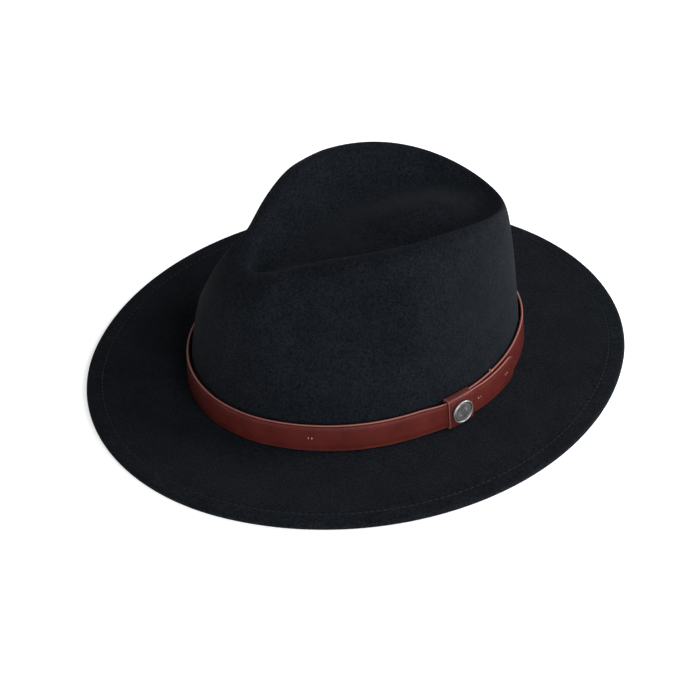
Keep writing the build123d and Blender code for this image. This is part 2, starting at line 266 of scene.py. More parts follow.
def tube_grid(path, radius, sides=8, taper=True):
    """Points and faces of a closed round tube along a path."""
    path = np.asarray(path, dtype=float)
    step = np.gradient(path, axis=0)
    step /= np.linalg.norm(step, axis=1)[:, None]
    guide = np.array((0.0, 0.0, 1.0)) if abs(step[:, 2]).mean() < 0.8 else np.array((1.0, 0.0, 0.0))
    across = np.cross(step, guide)
    across /= np.linalg.norm(across, axis=1)[:, None]
    up = np.cross(across, step)
    turn = np.linspace(0, 2 * pi, sides, endpoint=False)
    size = np.full(len(path), float(radius))
    if taper:
        size[0] *= 0.55
        size[-1] *= 0.55
    ring = across[:, None] * np.cos(turn)[None, :, None] + up[:, None] * np.sin(turn)[None, :, None]
    points = path[:, None] + ring * size[:, None, None]
    faces = grid_faces(len(path), sides, wrap_columns=True)
    faces.append(tuple(range(sides)))
    faces.append(tuple(range((len(path) - 1) * sides, len(path) * sides))[::-1])
    return points.reshape(-1, 3), faces


def gather(parts):
    """Joins several (points, faces) into one."""
    points, faces, first = [], [], 0
    for part_points, part_faces in parts:
        points.append(part_points)
        faces.extend(tuple(i + first for i in face) for face in part_faces)
        first += len(part_points)
    return np.concatenate(points), faces


def strip_section(half, thickness, edge, face_marks=(), bulge=0.0):
    """Section of a flat band, as (depth, height, edge mark). The edge mark lightens the cut edges, partly
    as worn edges and partly as a painted highlight. Its outer face is at depth 0 and its height runs from
    -half to half. face_marks are (distance from the edge, depth) of lines in the face."""
    steps = np.linspace(0, pi / 2, 4)
    corner = [(edge - edge * cos(a), -edge + edge * sin(a)) for a in steps]
    # The front corners of the section are painted lighter: partly worn edges, partly a painted highlight.
    face = [(off, depth, 1 - 0.3 * i) for i, (off, depth) in enumerate(corner)]
    face += [(edge + 0.05, 0.0, 0.0)]
    face += [(off, -depth, 0.0) for off, depth in face_marks]
    last_mark = face_marks[-1][0] if face_marks else edge
    inner = [max(half * share, last_mark) for share in (0.45, 0.7)]
    face += [(off, bulge, 0.0) for off in inner] + [(half, bulge, 0.0)]
    lower = [(depth, -max(half - off, 0), wear_and_painted_light) for off, depth, wear_and_painted_light in face]
    upper = [(depth, max(half - off, 0), wear_and_painted_light) for off, depth, wear_and_painted_light in face[:-1]][::-1]
    back = [(edge - edge * cos(a), -thickness + edge - edge * sin(a)) for a in steps[::-1]]
    # The back corners are painted lighter too, only faintly along the top edge that shows: worn edges
    # with a painted highlight.
    back_upper = [(depth, max(half - off, 0), 0.1) for off, depth in back[::-1]]
    back_lower = [(depth, -max(half - off, 0), 0.6) for off, depth in back]
    return np.array(lower + upper + back_upper + back_lower)


def band(name, angles, out, half_heights, middle, thickness, edge, material, body="hat",
         face_marks=(), bulge=0.0, shape=None, closed=False):
    """A band along the wall, facing outward. out may change along it, and so may its half height."""
    angles = np.asarray(angles, dtype=float)
    outs = np.broadcast_to(out, angles.shape)
    halves = np.broadcast_to(half_heights, angles.shape)
    points, wears_and_painted_light = [], []
    for angle, o, half in zip(angles, outs, halves):
        section = strip_section(half, thickness, min(edge, half * 0.9), face_marks, bulge)
        depth, height = o + section[:, 0], middle + section[:, 1]
        if shape is not None:
            depth, height = shape(angle, depth, height)
        points.append(on_wall(np.full(len(depth), angle), depth, height))
        wears_and_painted_light.append(section[:, 2])
    columns = len(points[0])
    faces = grid_faces(len(angles), columns, wrap_rows=closed, wrap_columns=True)
    if not closed:
        faces.append(tuple(range(columns)))
        faces.append(tuple(range((len(angles) - 1) * columns, len(angles) * columns))[::-1])
    points, wears_and_painted_light = np.concatenate(points), np.concatenate(wears_and_painted_light)
    return make_piece(name, points, faces, body, material, wears_and_painted_light)


# ---------------------------------------------------------------- materials

class Nodes:
    """A material with one Principled shader and short calls for the nodes that feed it."""

    def __init__(self, name, **sockets):
        self.material = bpy.data.materials.new(name)
        self.material.use_nodes = True
        self.tree = self.material.node_tree
        self.shader = self.tree.nodes["Principled BSDF"]
        self.place = self.tree.nodes.new("ShaderNodeTexCoord").outputs["Object"]
        for socket, value in sockets.items():
            self.shader.inputs[socket.replace("_", " ")].default_value = value

    def node(self, kind, **sockets):
        made = self.tree.nodes.new("ShaderNode" + kind)
        for socket, value in sockets.items():
            self.link(value, made.inputs[socket.replace("_", " ")])
        return made

    def link(self, value, socket):
        if isinstance(value, bpy.types.NodeSocket):
            self.tree.links.new(value, socket)
        else:
            socket.default_value = value

    def noise(self, size, detail=4.0, roughness=0.6, stretch=None):
        """Noise whose lumps are about size metres across."""
        place = self.place
        if stretch:
            mapping = self.node("Mapping", Vector=place, Scale=stretch)
            place = mapping.outputs["Vector"]
        made = self.node("TexNoise", Vector=place, Scale=1 / size, Detail=detail,
                         Roughness=roughness)
        return made.outputs["Fac"]

    def cells(self, size):
        """Distance to the middle of cells that are about size metres across."""
        made = self.node("TexVoronoi", Vector=self.place, Scale=1 / size)
        return made.outputs["Distance"]

    def ramp(self, value, low, high):
        """Maps low..high to 0..1."""
        made = self.node("MapRange", Value=value)
        made.inputs["From Min"].default_value = low
        made.inputs["From Max"].default_value = high
        return made.outputs["Result"]

    def mix(self, factor, first, second):
        made = self.tree.nodes.new("ShaderNodeMix")
        made.data_type = "RGBA"
        self.link(factor, made.inputs[0])
        self.link(first, made.inputs[6])
        self.link(second, made.inputs[7])
        return made.outputs[2]

    def math(self, operation, first, second=0.0):
        made = self.tree.nodes.new("ShaderNodeMath")
        made.operation = operation
        self.link(first, made.inputs[0])
        self.link(second, made.inputs[1])
        return made.outputs[0]

    # Per-point mask: worn edges with a painted highlight on leather, patina with painted contact shade on
    # metal.
    def wear_and_painted_light(self):
        made = self.tree.nodes.new("ShaderNodeAttribute")
        made.attribute_name = "wear_and_painted_light"
        return made.outputs["Fac"]

    def colour(self, value):
        self.link(value, self.shader.inputs["Base Color"])

    def roughness(self, value):
        self.link(value, self.shader.inputs["Roughness"])

    def bump(self, height, distance, strength=1.0, below=None):
        made = self.node("Bump", Height=height, Distance=distance, Strength=strength)
        if below is not None:
            self.link(below, made.inputs["Normal"])
        self.link(made.outputs["Normal"], self.shader.inputs["Normal"])
        return made.outputs["Normal"]


def felt_material():
    """Black wool felt with a cool tone, mottled nap and fine fibres."""
    m = Nodes("black_felt", Sheen_Weight=0.05, Sheen_Roughness=0.3,
              Specular_IOR_Level=0.03, Sheen_Tint=(0.7, 0.75, 0.85, 1))
    nap = m.noise(0.0013, detail=6, roughness=0.75)
    patches = m.noise(0.016, detail=3)
    fibres = m.noise(0.00035, detail=3, roughness=0.8, stretch=(1, 1, 0.35))
    dark, light = (0.0015, 0.0022, 0.0034, 1), (0.0147, 0.0178, 0.0225, 1)
    base = m.mix(m.ramp(nap, 0.36, 0.70), dark, light)
    lint = m.ramp(fibres, 0.62, 0.74)
    base = m.mix(m.math("MULTIPLY", lint, 0.5), base, (0.022, 0.024, 0.030, 1))
    base = m.mix(m.math("MULTIPLY", m.ramp(patches, 0.35, 0.7), 0.35), base, dark)
    m.colour(base)
    m.roughness(m.math("ADD", m.math("MULTIPLY", nap, 0.14), 0.84))
    coarse = m.bump(nap, 0.0009, 0.8)
    m.bump(fibres, 0.0003, 0.6, below=coarse)
    return m.material


def leather_material(name, base, light, edge, edge_share=1.0, roughness=0.36, coat=0.06):
    """Smooth dyed leather: fine pores, cloudy dye, lighter at the edges, partly worn edges and partly a
    painted highlight.
    """
    m = Nodes(name, Specular_IOR_Level=0.26, Coat_Weight=coat, Coat_Roughness=0.22)
    clouds = m.noise(0.011, detail=4)
    fine = m.noise(0.0011, detail=5, roughness=0.65)
    pores = m.cells(0.00042)
    colour = m.mix(m.ramp(clouds, 0.3, 0.72), base, light)
    colour = m.mix(m.math("MULTIPLY", m.ramp(fine, 0.35, 0.7), 0.25), colour, base)
    # Edges painted lighter and rougher: partly worn edges, partly a painted highlight.
    edge_wear_and_highlight = m.math("MULTIPLY", m.ramp(m.wear_and_painted_light(), 0.15, 0.85), edge_share)
    colour = m.mix(edge_wear_and_highlight, colour, edge)
    m.colour(colour)
    spread = m.math("MULTIPLY", fine, 0.16)
    face_roughness = m.math("ADD", spread, roughness - 0.06)
    m.roughness(m.math("ADD", face_roughness, m.math("MULTIPLY", edge_wear_and_highlight, 0.15)))
    grain = m.bump(pores, 0.00009, 0.35)
    m.bump(fine, 0.00016, 0.3, below=grain)
    return m.material


def thread_material(name, dark, light, roughness=0.55, sheen=0.3):
    """Twisted thread: the twist shows as slanting bands of light and dark."""
    m = Nodes(name, Sheen_Weight=sheen, Specular_IOR_Level=0.15)
    wave = m.node("TexWave", Vector=m.place, Scale=1400.0, Distortion=1.5, Detail=2.0)
    wave.bands_direction = "DIAGONAL"
    fuzz = m.noise(0.0004, detail=4)
    twist = m.math("MULTIPLY", m.math("ADD", wave.outputs["Fac"], fuzz), 0.5)
    m.colour(m.mix(m.ramp(twist, 0.25, 0.75), dark, light))
    m.roughness(m.math("ADD", m.math("MULTIPLY", fuzz, 0.2), roughness - 0.1))
    m.bump(twist, 0.00008, 0.7)
    return m.material


def metal_material(name, bright, dark, roughness, speckle=0.0009):
    """Plated metal with fine scratches, darker where its mask says: antiqued hollows, and on the stud a
    painted contact shade at the cap's foot.
    """
    m = Nodes(name, Metallic=1.0)
    tarnish = m.noise(speckle, detail=5)
    scratches = m.noise(0.0006, detail=3, stretch=(1, 1, 7))
    shade = m.math("MAXIMUM", m.wear_and_painted_light(), m.math("MULTIPLY", m.ramp(tarnish, 0.55, 0.8), 0.35))
    m.colour(m.mix(shade, bright, dark))
    m.roughness(m.math("ADD", m.math("MULTIPLY", scratches, 0.22), roughness - 0.08))
    m.bump(scratches, 0.00004, 0.25)
    return m.material


def woven_material(name, dark, light, pitch, roughness=0.7, sheen=0.35):
    """Plain weave: two crossing sets of yarns."""
    m = Nodes(name, Sheen_Weight=sheen, Specular_IOR_Level=0.3)
    yarns = []
    for direction in ("X", "Z"):
        wave = m.node("TexWave", Vector=m.place, Scale=1 / pitch / 3.2, Distortion=0.4, Detail=1.0)
        wave.bands_direction = direction
        yarns.append(wave.outputs["Fac"])
    weave = m.math("MULTIPLY", m.math("ADD", yarns[0], yarns[1]), 0.5)
    cloud = m.noise(0.004, detail=4)
    shade = m.math("ADD", weave, m.math("MULTIPLY", cloud, 0.4))
    m.colour(m.mix(m.ramp(shade, 0.3, 1.2), dark, light))
    m.roughness(m.math("ADD", m.math("MULTIPLY", cloud, 0.15), roughness - 0.05))
    m.bump(weave, pitch * 0.3, 0.6)
    return m.material


def clear_material():
    """Clear plastic rod with faint drawing lines."""
    m = Nodes("clear_reed", IOR=1.46, Transmission_Weight=0.75, Specular_IOR_Level=0.5)
    lines = m.noise(0.0007, detail=3, stretch=(1, 1, 6))
    m.colour(m.mix(lines, (0.72, 0.75, 0.76, 1), (0.9, 0.92, 0.92, 1)))
    m.roughness(m.math("ADD", m.math("MULTIPLY", lines, 0.12), 0.12))
    m.bump(lines, 0.00004, 0.2)
    return m.material


def floor_material():
    """A pale matt floor that glows a little, so that it stays white under soft light."""
    m = Nodes("pale_floor", Roughness=0.9, Specular_IOR_Level=0.1, Emission_Strength=FLOOR_GLOW,
              Emission_Color=(1, 1, 1, 1))
    m.colour((0.86, 0.86, 0.87, 1))
    return m.material


# ---------------------------------------------------------------- felt body

def crest(y):
    """Height of the ridge above a place along the hat."""
    radius = np.where(y < CREST_MIDDLE, CREST_FRONT_RADIUS, CREST_REAR_RADIUS)
    return CREST_HEIGHT - (radius - np.sqrt(radius**2 - (y - CREST_MIDDLE) ** 2))


def ridge_line(foot_x, foot_y):
    """The ridge point above each point of the wall's foot: a rounded teardrop in plan."""
    turn = np.arctan2(foot_y - 0.6 * RIDGE_MIDDLE, foot_x)
    c, s = np.cos(turn), np.sin(turn)
    reach = np.where(s < 0, RIDGE_FRONT, RIDGE_REAR)
    power = np.where(s < 0, RIDGE_FRONT_POWER, RIDGE_REAR_POWER)
    radius = (np.abs(c / RIDGE_HALF_WIDTH) ** power + np.abs(s / reach) ** power) ** (-1 / power)
    x, y = radius * c, RIDGE_MIDDLE + radius * s
    return np.stack((x, y, crest(y)), -1)


def dent_surface(ridge, steps):
    """From the ridge inward to the dent's middle line, across slope, groove and raised middle."""
    x, y, z = (ridge[:, i][:, None] for i in range(3))
    first, last = RIDGE_MIDDLE - RIDGE_FRONT, RIDGE_MIDDLE + RIDGE_REAR
    spine = SPINE_FRONT + (SPINE_REAR - SPINE_FRONT) * (y - first) / (last - first)
    v = np.linspace(0, 1, steps + 1)[1:][None, :]
    slope = SLOPE_SIDE + (SLOPE_FRONT - SLOPE_SIDE) * ease((10 - y) / 60)
    slope = slope + (SLOPE_REAR - SLOPE_SIDE) * ease((y - 10) / (last - 10))
    px, py = x * (1 - v), y + (spine - y) * v
    reach = np.where(py < DENT_MIDDLE, DENT_FRONT_REACH, DENT_REAR_REACH)
    depth = DENT_DEPTH * (1 - ((py - DENT_MIDDLE) / reach) ** 2)
    fall = np.sin(np.clip(v / slope, 0, 1) * pi / 2) ** SLOPE_START
    island = ISLAND_HEIGHT * ease(py / ISLAND_LENGTH) * ease((v - slope) / (1.001 - slope))
    return np.stack((px, py, z + (crest(py) - z) * fall - depth * fall + island), -1)


def wall_surface(foot, ridge, steps):
    """From the foot up to the ridge: upright at the foot and level at the ridge."""
    inward = ridge[:, :2] - foot[:, :2]
    span = np.linalg.norm(inward, axis=1)[:, None]
    inward = inward / span
    height = ridge[:, 2:3] - foot[:, 2:3]
    rise = np.concatenate((inward * WALL_LEAN, np.ones_like(height)), 1) * WALL_RISE * height
    level = np.concatenate((inward * WALL_ROUND * span, np.zeros_like(height)), 1)
    u = np.linspace(0, 1, steps)[None, :, None]
    ends = foot[:, None] * (1 - u) ** 3 + ridge[:, None] * u**3
    near_foot = (foot + rise)[:, None] * u * (1 - u) ** 2
    near_ridge = (ridge - level)[:, None] * u * u * (1 - u)
    return ends + 3 * near_foot + 3 * near_ridge


def pinch(points):
    """Pushes the two front side hollows into the crown."""
    x, y, z = (points[..., i] for i in range(3))
    along = (y - PINCH_Y) / np.where(y < PINCH_Y, PINCH_FRONT_REACH, PINCH_REAR_REACH)
    upward = (z - PINCH_Z) / np.where(z < PINCH_Z, PINCH_DOWN_REACH, PINCH_UP_REACH)
    away = (np.abs(along) ** PINCH_POWER + np.abs(upward) ** PINCH_POWER) ** (1 / PINCH_POWER)
    push = PINCH_DEPTH * ease(PINCH_STEEPNESS * (1 - away)) * ease((np.abs(x) - PINCH_INNER) / PINCH_FADE)
    move = np.stack((-0.93 * np.sign(x) * push, 0.15 * push, -0.2 * push), -1)
    return points + move


def grid_normals(points):
    """Outward normals of a grid whose rows run round the hat."""
    along = np.roll(points, -1, 0) - np.roll(points, 1, 0)
    down = np.gradient(points, axis=1)
    normal = np.cross(down, along)
    normal[:, 0, 0] = 0
    return normal / (np.linalg.norm(normal, axis=2)[..., None] + 1e-9)


def felt_body(material):
    """Crown and brim as one closed felt shell, with the brim's edge folded under."""
    turns, dent_steps, wall_steps, brim_steps = 320, 38, 56, 26
    angle = (np.arange(turns) + 0.5) * 2 * pi / turns
    foot_height = BRIM_TOP_AT_CROWN + JUNCTION_RADIUS
    foot_out = FELT_OUT - WALL_LEAN * (foot_height - STRAP_BOTTOM)
    foot = np.stack((*on_oval(angle, foot_out), np.full(turns, foot_height)), -1)
    ridge = ridge_line(foot[:, 0], foot[:, 1])
    dent = dent_surface(ridge, dent_steps)[:, ::-1]
    wall = wall_surface(foot, ridge, wall_steps)[:, ::-1]
    crown = pinch(np.concatenate((dent, wall), 1))

    def brim_top(out):
        share = (out - FELT_OUT) / (BRIM_WIDTH - FELT_OUT)
        flat = BRIM_TOP_AT_CROWN + (BRIM_TOP_AT_EDGE - BRIM_TOP_AT_CROWN) * share
        seam = SEAM_GROOVE_DEPTH * np.exp(-(((out - EDGE_SEAM_OUT) / SEAM_GROOVE_WIDTH) ** 2))
        return flat + FOLD_LIFT * ease((out - FOLD_START) / 2.5) - seam

    def ring(outs, heights):
        wave = BRIM_WAVE * (1 + np.sin(2 * angle + 0.6) * np.cos(angle - 0.4))[:, None]
        far = np.clip(np.asarray(outs) / BRIM_WIDTH, 0, 1)[None, :] ** 2
        x, y = on_oval(angle[:, None], np.asarray(outs)[None, :])
        return np.stack((x, y, np.asarray(heights)[None, :] + wave * far), -1)

    bend = np.linspace(0, pi / 2, 6)[1:]
    bend_out = foot_out + JUNCTION_RADIUS * (1 - np.cos(bend))
    bend_height = foot_height - JUNCTION_RADIUS * np.sin(bend)
    plain_outs = np.linspace(bend_out[-1] + 1.5, FOLD_START - 1, brim_steps)
    near_fold = np.array((FOLD_START - 0.3, FOLD_START + 0.5, FOLD_START + 1.3))
    top = ring(np.concatenate((bend_out, plain_outs)),
               np.concatenate((bend_height, brim_top(plain_outs))))
    upper = np.concatenate((crown, top), 1)
    normals = grid_normals(upper)
    under = upper - normals * FELT
    last = dent_steps + wall_steps - 8
    for _ in range(UNDERSIDE_SMOOTHINGS):
        inner = under[:, 1:last]
        neighbours = np.roll(inner, 1, 0) + np.roll(inner, -1, 0) + under[:, :last - 1]
        neighbours = neighbours + under[:, 2:last + 1]
        under[:, 1:last] = inner * 0.4 + neighbours * 0.15
    seam_outs = EDGE_SEAM_OUT + np.array((-0.6, -0.3, 0, 0.3, 0.6, 1.2))
    edge_radius = brim_top(BRIM_WIDTH) / 2
    edge_centre = BRIM_WIDTH - edge_radius
    fold_outs = np.concatenate((near_fold, seam_outs, np.linspace(EDGE_SEAM_OUT + 2.4, edge_centre, 5)))
    swing = np.linspace(0, pi, 11)[1:]
    edge_outs = edge_centre + edge_radius * np.sin(swing)
    edge_heights = edge_radius + edge_radius * np.cos(swing)
    back_outs = np.array((56.0, 54.0, 52.0, 51.1, 50.8, 50.5, 50.2, 49.8, 49.2, 48.6, 48.2, 48.0, 47.9))
    back_heights = np.array((0, 0, 0, 0.05, 0.3, 0.45, 0.3, 0.05, 0, 0.05, 0.25, 0.7, 1.4))
    fold = ring(np.concatenate((fold_outs, edge_outs, back_outs)),
                np.concatenate((brim_top(fold_outs), edge_heights, back_heights)))
    shell = np.concatenate((upper, fold, under[:, ::-1]), 1)
    faces = grid_faces(turns, shell.shape[1], wrap_rows=True)
    piece = make_piece("felt_hood", shell.reshape(-1, 3), faces, "hat", material,
                       weld=0.002)
    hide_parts("felt_body")
    return piece


# ---------------------------------------------------------------- stitching

def running_stitches(out, height, length, gap, radius, inside=False):
    """Separate stitches round the hat, each bowed up out of the surface at its middle."""
    outline = on_oval(np.linspace(0, 2 * pi, 721), out)
    perimeter = path_length(np.stack(outline, -1))
    count = round(perimeter / (length + gap))
    strides = np.linalg.norm(np.diff(np.stack(outline, -1), axis=0), axis=1)
    walk = np.concatenate(([0], np.cumsum(strides)))
    ways = np.linspace(0, 2 * pi, 721)
    parts = []
    for i in range(count):
        start = perimeter * i / count
        places = np.interp(start + length * np.array((0, 0.12, 0.5, 0.88, 1)), walk, ways)
        rise = np.array((-0.9, 0.25, 0.55, 0.25, -0.9)) * radius
        if inside:
            x, y = on_oval(places, out - rise)
            path = np.stack((x, y, np.full(5, float(height))), -1)
        else:
            x, y = on_oval(places, out)
            path = np.stack((x, y, height + rise), -1)
        parts.append(tube_grid(path, radius, sides=6))
    return gather(parts)


def brim_wave_at(points):
    """How much the brim's soft wave lifts a point near its edge."""
    angle = np.arctan2(points[:, 1], points[:, 0])
    return BRIM_WAVE * (1 + np.sin(2 * angle + 0.6) * np.cos(angle - 0.4))


def brim_stitches(material):
    """One row of stitches that holds the folded edge, seen from above and from below."""
    length, gap = EDGE_STITCH_LENGTH, EDGE_STITCH_GAP
    upper = running_stitches(EDGE_SEAM_OUT, BRIM_TOP_AT_EDGE - 0.15, length, gap, 0.34)
    lower = running_stitches(EDGE_SEAM_OUT, 0.42, length, gap, 0.28)
    points, faces = gather((upper, lower))
    far = (EDGE_SEAM_OUT / BRIM_WIDTH) ** 2
    points[:, 2] += brim_wave_at(points) * far
    points[:, 2] = np.maximum(points[:, 2], 0.05)
    piece = make_piece("brim_edge_stitches", points, faces, "hat", material)
    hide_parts("brim_edge_thread")
    return piece


def sweat_stitches(material):
    """The seam that joins the sweatband to the felt."""
    out = SWEATBAND_OUT - SWEATBAND
    points, faces = running_stitches(out, SWEAT_SEAM_HEIGHT, 3.2, 0.8, 0.25, inside=True)
    piece = make_piece("sweatband_stitches", points, faces, "hat", material)
    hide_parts("sweatband_thread")
    return piece


# ---------------------------------------------------------------- hatband

def tack_dimple(angle, depth, height):
    """Puckers the strap's face where a tack pulls it in."""
    pulled = depth.copy()
    for tack in TACK_ANGLES:
        away = (angle - radians(tack + 360 * (angle > pi and tack < 0))) * SIDE_RADIUS
        for end in (-TACK_HALF_LENGTH, TACK_HALF_LENGTH):
            distance = (away - end) ** 2 + (height - STRAP_MIDDLE) ** 2
            pulled = pulled - TACK_DIMPLE_DEPTH * np.exp(-distance / TACK_DIMPLE_WIDTH**2)
    return pulled


def strap_shape(angle, depth, height):
    """Tack dimples, and the smooth easing of the strap's lie that leather has."""
    on_face = depth > depth.max() - 0.6
    ripple = 0.05 * sin(7 * angle + 1) + 0.04 * sin(13 * angle)
    depth = np.where(on_face, tack_dimple(angle, depth, height), depth)
    return depth + ripple * ((height - STRAP_MIDDLE) / STRAP_HALF) ** 2, height


def overlap_ramp(past_turn):
    """0 to 1 as the strap climbs over its own start, past_turn in degrees beyond a full turn."""
    return ease((past_turn - RAMP_START) / (RAMP_END - RAMP_START))


def strap_out(past_turn):
    """How far the overlapping strap stands out."""
    lift = TAIL_LIFT * ease((past_turn - TAIL_LIFT_START) / TAIL_LIFT_TURN)
    return OVERLAP * overlap_ramp(past_turn) + lift


def hatband_strap(material):
    """One strap that starts under the keeper, goes once round and ends outside in a round tail."""
    full_turn = 360.0
    coarse = np.arange(INNER_END, full_turn + TAIL_END, 0.9)
    fine = [full_turn * turn + tack + np.arange(-1.4, 1.41, 0.14)
            for tack in TACK_ANGLES for turn in (0, 1)]
    tip_turn = degrees(STRAP_HALF / SIDE_RADIUS)
    tip = full_turn + TAIL_END - tip_turn * (1 - np.sin(np.linspace(0, pi / 2, 16)))
    angles = np.concatenate((coarse[coarse < tip[0]], *fine, tip))
    on_strap = (angles >= INNER_END) & (angles <= full_turn + TAIL_END)
    angles = np.unique(np.round(angles[on_strap], 3))
    into_tip = np.clip((angles - tip[0]) / tip_turn, 0, 0.999)
    narrowing = TAIL_NARROWING * overlap_ramp(angles - full_turn)
    halves = (STRAP_HALF - narrowing) * np.sqrt(1 - into_tip**2)
    marks = ((CREASE - CREASE_HALF_WIDTH, 0.0), (CREASE, CREASE_DEPTH), (CREASE + CREASE_HALF_WIDTH, 0.0))
    piece = band("hatband_leather", np.radians(angles), strap_out(angles - full_turn), halves,
                 STRAP_MIDDLE, STRAP_THICKNESS, STRAP_EDGE, material,
                 face_marks=marks, bulge=STRAP_BULGE, shape=strap_shape)
    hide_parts("hatband_strap")
    return piece


def band_tacks(material):
    """Thread tacks through the strap, and one small loop over its top edge."""
    parts = []
    for tack in TACK_ANGLES:
        centre, along, up, outward = wall_frame(radians(tack), strap_out(tack), STRAP_MIDDLE)
        run = np.array((-0.55, -0.42, -0.2, 0.2, 0.42, 0.55))
        lift = np.array((-0.7, -0.1, 0.14, 0.14, -0.1, -0.7))
        for end in (-TACK_HALF_LENGTH, TACK_HALF_LENGTH):
            for side in (-0.15, 0.15):
                path = centre + (end + side) * along + lift[:, None] * outward + run[:, None] * up
                parts.append(tube_grid(path, TACK_THREAD))
    start, along, up, outward = wall_frame(radians(EDGE_TACK_ANGLE), 0.0, STRAP_TOP)
    over_edge = ((0.12, -1.0), (0.2, -0.2), (0.05, 0.22), (-0.7, 0.3), (-1.45, 0.2), (-1.6, -0.8))
    for side in (-0.5, 0.2):
        path = np.array([start + side * along + d * outward + h * up for d, h in over_edge])
        parts.append(tube_grid(path, EDGE_TACK_THREAD))
    points, faces = gather(parts)
    piece = make_piece("hatband_tack_stitches", points, faces, "hat", material)
    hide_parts("band_tacks")
    return piece


# ---------------------------------------------------------------- keeper and stud

def loop_path(front, back, low, high, corner, steps=7):
    """A rounded rectangle in the wall's (out, height) plane, walked round from its lower front.
    Each row holds a point and the direction that faces out of the loop there."""
    corners = ((front - corner, low + corner, -90), (front - corner, high - corner, 0),
               (back + corner, high - corner, 90), (back + corner, low + corner, 180))
    points = []
    for x, y, start in corners:
        for turn in np.linspace(start, start + 90, steps):
            a = radians(turn)
            points.append((x + corner * cos(a), y + corner * sin(a), cos(a), sin(a)))
    return np.array(points)


def resample(path, spacing):
    """Adds points on the long straight runs of a closed path."""
    result = []
    for a, b in zip(path, np.roll(path, -1, 0)):
        count = max(1, int(np.hypot(*(b - a)[:2]) / spacing))
        for i in range(count):
            result.append(a + (b - a) * i / count)
    return np.array(result)


def keeper_loop(material):
    """A leather loop round both layers of the strap, soft at its folds and creased by its sides."""
    thickness = KEEPER_LEATHER
    low, high = STRAP_BOTTOM - KEEPER_GAP - thickness, STRAP_TOP + KEEPER_GAP + thickness
    outer = loop_path(KEEPER_FRONT + thickness, KEEPER_BACK - 0.7, low, high, 1.5)
    outer = resample(outer, 1.0)
    half = KEEPER_WIDTH / 2
    edge = 0.3
    # The keeper's cut edges are painted lighter: worn edges with a painted highlight.
    across = [(-half + edge * (1 - cos(a)), -edge * (1 - sin(a)), 0.9 - 0.2 * i)
              for i, a in enumerate(np.linspace(0, pi / 2, 4))]
    across += [(-half + 0.8, 0, 0), (-half + 1.15, -0.13, 0), (-half + 1.5, 0, 0), (-half * 0.66, 0, 0),
               (-half * 0.33, 0.03, 0), (0, 0.04, 0)]
    across += [(-x, d, w) for x, d, w in across[:-1][::-1]]
    inner = [(half - edge * (1 - cos(a)), -thickness + edge * (1 - sin(a)), 0.5)
             for a in np.linspace(0, pi / 2, 4)]
    across += inner + [(-x, d, w) for x, d, w in inner[::-1]]
    centre = radians(KEEPER_ANGLE)
    points, wears_and_painted_light = [], []
    for out, height, nx, ny in outer:
        norm = hypot(nx, ny)
        waist = 1 - 0.018 * ease(1 - abs(height - STRAP_MIDDLE) / (STRAP_HALF + 1))
        on_fold = ease((abs(height - STRAP_MIDDLE) - STRAP_HALF + 0.6) / 1.4)
        for x, depth, wear_and_painted_light in across:
            angle = centre + x * waist / SIDE_RADIUS
            o, h = out + depth * nx / norm, height + depth * ny / norm
            points.append(on_wall(np.array(angle), np.array(o), np.array(h)))
            # The top and bottom folds are painted lighter: partly rubbing of the leather, partly a
            # painted highlight along the bends.
            wears_and_painted_light.append(max(wear_and_painted_light, 0.22 * on_fold if depth > -0.2 else 0))
    faces = grid_faces(len(outer), len(across), wrap_rows=True, wrap_columns=True)
    piece = make_piece("keeper_leather", points, faces, "keeper", material,
                       wears_and_painted_light)
    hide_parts("keeper_loop")
    return piece


def stud_height(r, turn):
    """Height of the stud's face above its base, and how dark its hollows are."""
    rim_middle, rim_half = STUD_RADIUS - 0.55, 0.52
    rim = np.sqrt(np.clip(1 - ((r - rim_middle) / rim_half) ** 2, 0, 1)) * 0.5
    groove = -0.18 * np.exp(-(((r - STUD_GROOVE_RADIUS) / 0.2) ** 2))
    beads = 0.5 + 0.5 * np.cos(STUD_BEADS * turn)
    bead_ring = 0.11 * np.exp(-(((r - STUD_BEAD_RADIUS) / 0.3) ** 2)) * beads
    inner_ring = 0.07 * np.exp(-(((r - STUD_RING_RADIUS) / 0.14) ** 2))
    rays = 0.05 * np.cos(STUD_RAYS * turn) * ease((r - 1.4) / 1.0) * ease((4.4 - r) / 0.5)
    height = STUD_PLATE + rim + groove + bead_ring + inner_ring + rays
    between_rays = 0.5 - 0.5 * np.cos(STUD_RAYS * turn)
    hollows = ease((4.5 - r) / 0.4) * ease((r - 1.2) / 0.8) * between_rays
    dark = 0.9 * np.exp(-(((r - STUD_GROOVE_RADIUS) / 0.28) ** 2)) + 0.45 * hollows
    return height, np.clip(dark + 0.25 * (r < 5.9), 0, 1)


